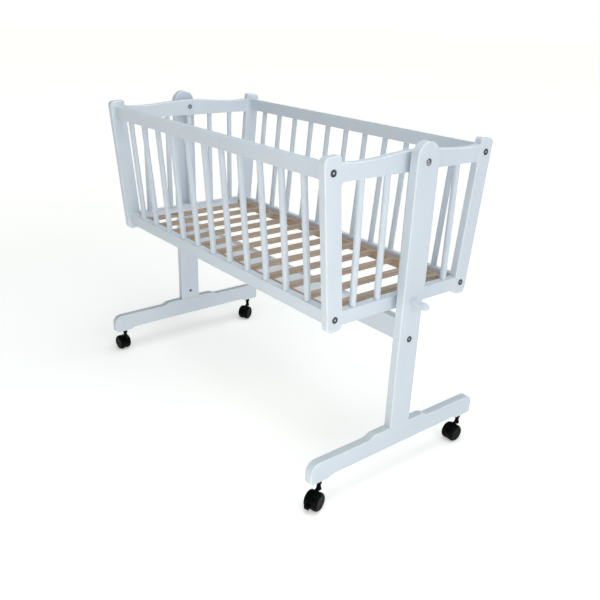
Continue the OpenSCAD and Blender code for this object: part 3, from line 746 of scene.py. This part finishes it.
# ---------------------------------------------------------------- castors
def wheel_mesh():
    """One wheel round the Z axis: hub face and rim inside, tread, rounded shoulder, outer face with its ring groove."""
    p = [(0, 15.5), (3.05, 15.5), (3.05, 4.4), (5.4, 4.4), (5.8, 4.9), (17.6, 4.9), (18.2, 4.4), (21.8, 4.4)]
    p += arc(21.8, 5.6, 1.2, -75, 0, 4)
    p += [(23.0, 8.4), (23.0, 11.0)]
    p += arc(16.0, 11.0, 7.0, 9, 84, 9)
    p += [(15.6, 17.98), (15.1, 17.85), (14.9, 17.4), (14.3, 17.4), (14.1, 17.85), (13.5, 18.0), (9.0, 17.75), (7.0, 17.6), (6.6, 17.2), (5.9, 17.2), (5.6, 17.6),
          (3.5, 17.75), (0, 17.8)]
    return lathe(p, 80)


def collar_mesh():
    """Neck between the wheels and the foot, narrower in the middle, with a collar on top."""
    z0, z1 = 2 * WHEEL_R - 1.5, 69.9
    p = [(0, z0), (6.8, z0)]
    p += [(6.8 - 1.6 * ease(i / 6), z0 + 9 * i / 6) for i in range(1, 7)]
    p += [(5.2, z1 - 10.4)]
    p += [(5.2 + 2.0 * ease(i / 6), z1 - 10.4 + 3.4 * i / 6) for i in range(1, 7)]
    p += [(7.2, z1 - 0.7), (6.6, z1), (0, z1)]
    return lathe(p, 56)


def housing(c, brake):
    out = arc(TRAIL, WHEEL_R, WHEEL_R - 0.7, 118, 360 + 62, 56)
    # neck up to the collar, blended into the disc
    out += [(17, 45.2), (12.5, 45.8), (9.2, 47.6), (8, 49), (-6, 49), (-6, 40)]
    bm = prism(out, -4, 4, "XZ")
    bm = round_edges(bm, 0.7, 2, least=40)
    ob = to_object("castor_%s_body" % c, bm)
    cut(ob, [collar_mesh()], "UNION")
    if brake:
        # room round the lever's ring and over the sweep of its arm
        hub = Matrix.Translation(Vector((TRAIL, 0, WHEEL_R)))
        cut(ob, [moved(lathe([(0, -9), (7.5, -9), (7.5, 0), (0, 0)], 48, "Y"), hub)])
        w, k = [], 4.6
        for a in (-15, 12):
            co, si = math.cos(math.radians(a)), math.sin(math.radians(a))
            w += [(0 * co - v * si, 0 * si + v * co) for v in (-k, k)] + [(30 * co - v * si, 30 * si + v * co) for v in (-k, k)]
        cut(ob, [moved(prism(convex(w), -9, 0, "XZ"), hub)])
    ob.data.transform(Matrix.Scale(1 / MM, 4))
    ob.data.transform(castor_frame(c))
    ob.data.transform(Matrix.Scale(MM, 4))
    return piece(ob, "castor_" + c, "castor_%s_housing" % c, "black", 32)


for c in CASTORS:
    housing(c, c in ("rf", "lf"))
    hub = castor_frame(c) @ Matrix.Translation(Vector((TRAIL, 0, WHEEL_R)))
    for w, sgn in (("a", 1), ("b", -1)):
        turn = Matrix.Rotation(math.radians(-90), 4, "X")
        m = hub @ (turn if sgn > 0 else MIRROR_Y @ turn)
        piece(to_object("castor_%s_twin_%s" % (c, w), moved(wheel_mesh(), m)), "wheel_%s_%s" % (c, w), "castor_%s_wheel_%s" % (c, w), "black", 32)


def brake(c):
    tilt = castor_frame(c) @ Matrix.Translation(Vector((TRAIL, 0, WHEEL_R))) @ Matrix.Rotation(math.radians(14), 4, "Y")
    ring = lathe([(0, -4), (6.6, -4), (7, -3.6), (7, -0.7), (6.6, -0.3), (0, -0.3)], 48, "Y")
    arm = round_edges(prism([(4, -4), (26, -4), (26, 4), (4, 4)], -4, -0.3, "XZ"), 0.5, 2)
    x0, x1 = WHEEL_R + 1.2, WHEEL_R + 5.8
    tab = prism([(-11, -5.5), (2, -5.5), (2, 5.5), (-11, 5.5)], x0, x1)
    tab = round_edges(tab, 1.4, 4)
    # finger ridges across the tab
    ob = to_object("castor_%s_lever" % c, ring)
    cut(ob, [arm], "UNION")
    cut(ob, [tab], "UNION")
    cut(ob, [moved(lathe([(0, -11.5), (0.6, -11.5), (0.6, 2.5), (0, 2.5)], 12, "Y"), Matrix.Translation(Vector((x1 + 0.15, 0, z)))) for z in (-3, 0, 3)])
    ob.data.transform(Matrix.Scale(MM, 4) @ tilt @ Matrix.Scale(1 / MM, 4))
    return piece(ob, "brake_" + c, "castor_%s_brake" % c, "black", 30)


for c in ("rf", "lf"):
    brake(c)


# ---------------------------------------------------------------- CAD nodes that stay as they are
KEPT = {"zinc": ["stretcher_barrel_nuts", "foot_bolts", "foot_barrel_nuts", "castor_sockets", "pivot_spacers", "corner_barrel_nuts",
                 "batten_screws", "slat_screws"] + ["castor_%s_pins" % c for c in CASTORS],
        "dowel": ["stretcher_dowels", "foot_dowels", "rail_dowels"]}
for key, names in KEPT.items():
    for nname in names:
        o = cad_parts[nname]
        if not o.data.materials:
            o.data.materials.append(MATS[key])
        for i in range(len(o.material_slots)):
            o.material_slots[i].link = "OBJECT"
            o.material_slots[i].material = MATS[key]

# ---------------------------------------------------------------- floor, camera, light
bm = bmesh.new()
bmesh.ops.create_grid(bm, x_segments=24, y_segments=24, size=40)
me = bpy.data.meshes.new("floor")
bm.to_mesh(me)
bm.free()
floor = bpy.data.objects.new("floor", me)
scene.collection.objects.link(floor)
n = Net("pale_floor")
fl = n.noise(n.coord, 3.0, 4, 0.6)
away = n.nt.nodes.new("ShaderNodeVectorMath")
away.operation = "LENGTH"
n.link(n.coord, away.inputs[0])
# lit paper: brighter with the distance, most of all towards the far left and the rear
toward = n.nt.nodes.new("ShaderNodeVectorMath")
toward.operation = "DOT_PRODUCT"
n.link(n.coord, toward.inputs[0])
toward.inputs[1].default_value = (-0.77, 0.63, 0)
rise = n.remap(away.outputs["Value"], 0.7, 4.0, 0.0, 1.0)
far_glow = n.math("MULTIPLY", rise, n.remap(toward.outputs["Value"], -1.0, 1.5, 0.201, 0.483))
glow = n.math("ADD", far_glow, 0.361)
n.link(glow, n.bsdf.inputs["Emission Strength"])
n.done(n.mix(fl, (0.95, 0.95, 0.95), (0.935, 0.935, 0.935)), n.remap(fl, 0.3, 0.7, 0.75, 0.9), n.bump(n.noise(n.coord, 240, 3), 0.05, 0.0005),
       Specular_IOR_Level=0.1, Emission_Color=(1, 1, 0.97, 1))
me.materials.append(n.mat)

cam_data = bpy.data.cameras.new("camera")
cam = bpy.data.objects.new("camera", cam_data)
scene.collection.objects.link(cam)
YAW, PITCH, ROLL = 0.8846, 0.4259, 0.0362
d = Vector((-math.sin(YAW) * math.cos(PITCH), math.cos(YAW) * math.cos(PITCH), -math.sin(PITCH)))
r = d.cross(Vector((0, 0, 1))).normalized()
u = r.cross(d)
r2 = math.cos(ROLL) * r + math.sin(ROLL) * u
u2 = -math.sin(ROLL) * r + math.cos(ROLL) * u
rot = Matrix((r2, u2, -d)).transposed()
cam.matrix_world = Matrix.Translation(Vector((1.4520, -1.1161, 1.0407))) @ rot.to_4x4()
cam_data.sensor_width = 36.0
cam_data.lens = 694.1 / 600 * 36
cam_data.shift_x = (300 - 295.3) / 600
cam_data.shift_y = (325.6 - 300) / 600
cam_data.clip_start, cam_data.clip_end = 0.05, 100
scene.camera = cam

# a white backdrop round the horizon, a darker ceiling above it
world = bpy.data.worlds.new("studio")
scene.world = world
world.use_nodes = True
wt = world.node_tree
bg = wt.nodes["Background"]
tc = wt.nodes.new("ShaderNodeTexCoord")
sep = wt.nodes.new("ShaderNodeSeparateXYZ")
wt.links.new(tc.outputs["Generated"], sep.inputs[0])
band = wt.nodes.new("ShaderNodeMapRange")
for i, v in enumerate((0.06, 0.34, 1.0, 0.18)):
    band.inputs[i + 1].default_value = v
wt.links.new(sep.outputs[2], band.inputs[0])
# the paper hangs behind the object; the room on the other side is dimmer
behind = wt.nodes.new("ShaderNodeVectorMath")
behind.operation = "DOT_PRODUCT"
wt.links.new(tc.outputs["Generated"], behind.inputs[0])
behind.inputs[1].default_value = (-0.77, 0.63, 0)
dim = wt.nodes.new("ShaderNodeMapRange")
for i, v in enumerate((-0.4, 0.4, 0.40, 1.0)):
    dim.inputs[i + 1].default_value = v
wt.links.new(behind.outputs["Value"], dim.inputs[0])
both = wt.nodes.new("ShaderNodeMath")
both.operation = "MULTIPLY"
wt.links.new(band.outputs[0], both.inputs[0])
wt.links.new(dim.outputs[0], both.inputs[1])
wt.links.new(both.outputs[0], bg.inputs[1])
bg.inputs[0].default_value = (1.0, 1.0, 1.0, 1)


def area(name, where, to, size, power, color, shape_y=None):
    ld = bpy.data.lights.new(name, "AREA")
    ld.shape = "RECTANGLE"
    ld.size = size
    ld.size_y = shape_y or size
    ld.energy = power
    ld.color = color
    o = bpy.data.objects.new(name, ld)
    scene.collection.objects.link(o)
    o.location = where
    o.rotation_mode = "QUATERNION"
    o.rotation_quaternion = (Vector(to) - Vector(where)).to_track_quat("-Z", "Y")
    o.visible_camera = False
    return o


def softbox(name, azimuth, height, far, size, power, color):
    """A large soft light on a circle round the object; azimuth from +X towards +Y, height as an angle."""
    a, h = math.radians(azimuth), math.radians(height)
    c = Vector((0.0, 0.0, 0.45))
    area(name, c + far * Vector((math.cos(h) * math.cos(a), math.cos(h) * math.sin(a), math.sin(h))), c, size, power, color)


LIGHT = (0.962, 0.990, 1.0)
softbox("key", 0, 25, 5.0, 2.5, 52, LIGHT)
area("top_near", (0.3, 0.2, 3.0), (0.0, 0.0, 0.45), 2.0, 34, (0.92, 1.0, 1.0))
area("top", (0.3, 0.2, 5.0), (0.0, 0.0, 0.45), 5.0, 26, (0.92, 1.0, 1.0))
softbox("front_soft", -60, 60, 5.0, 2.5, 20, (1.0, 1.0, 0.88))
softbox("rear", 80, 25, 5.0, 2.5, 9.91, LIGHT)
area("front_right", (0.82, -0.95, 0.2), (0.0, 0.0, 0.45), 0.5, 2.4, (1.0, 1.0, 0.88))
area("right_near", (1.1, -0.6, 1.0), (0.0, 0.0, 0.45), 0.6, 1.2, (1.0, 1.0, 0.95))
area("above_right", (0.7, -0.6, 2.2), (0.0, 0.0, 0.45), 0.6, 1.5, LIGHT)
scene.view_settings.view_transform = "Standard"
scene.view_settings.look = "None"
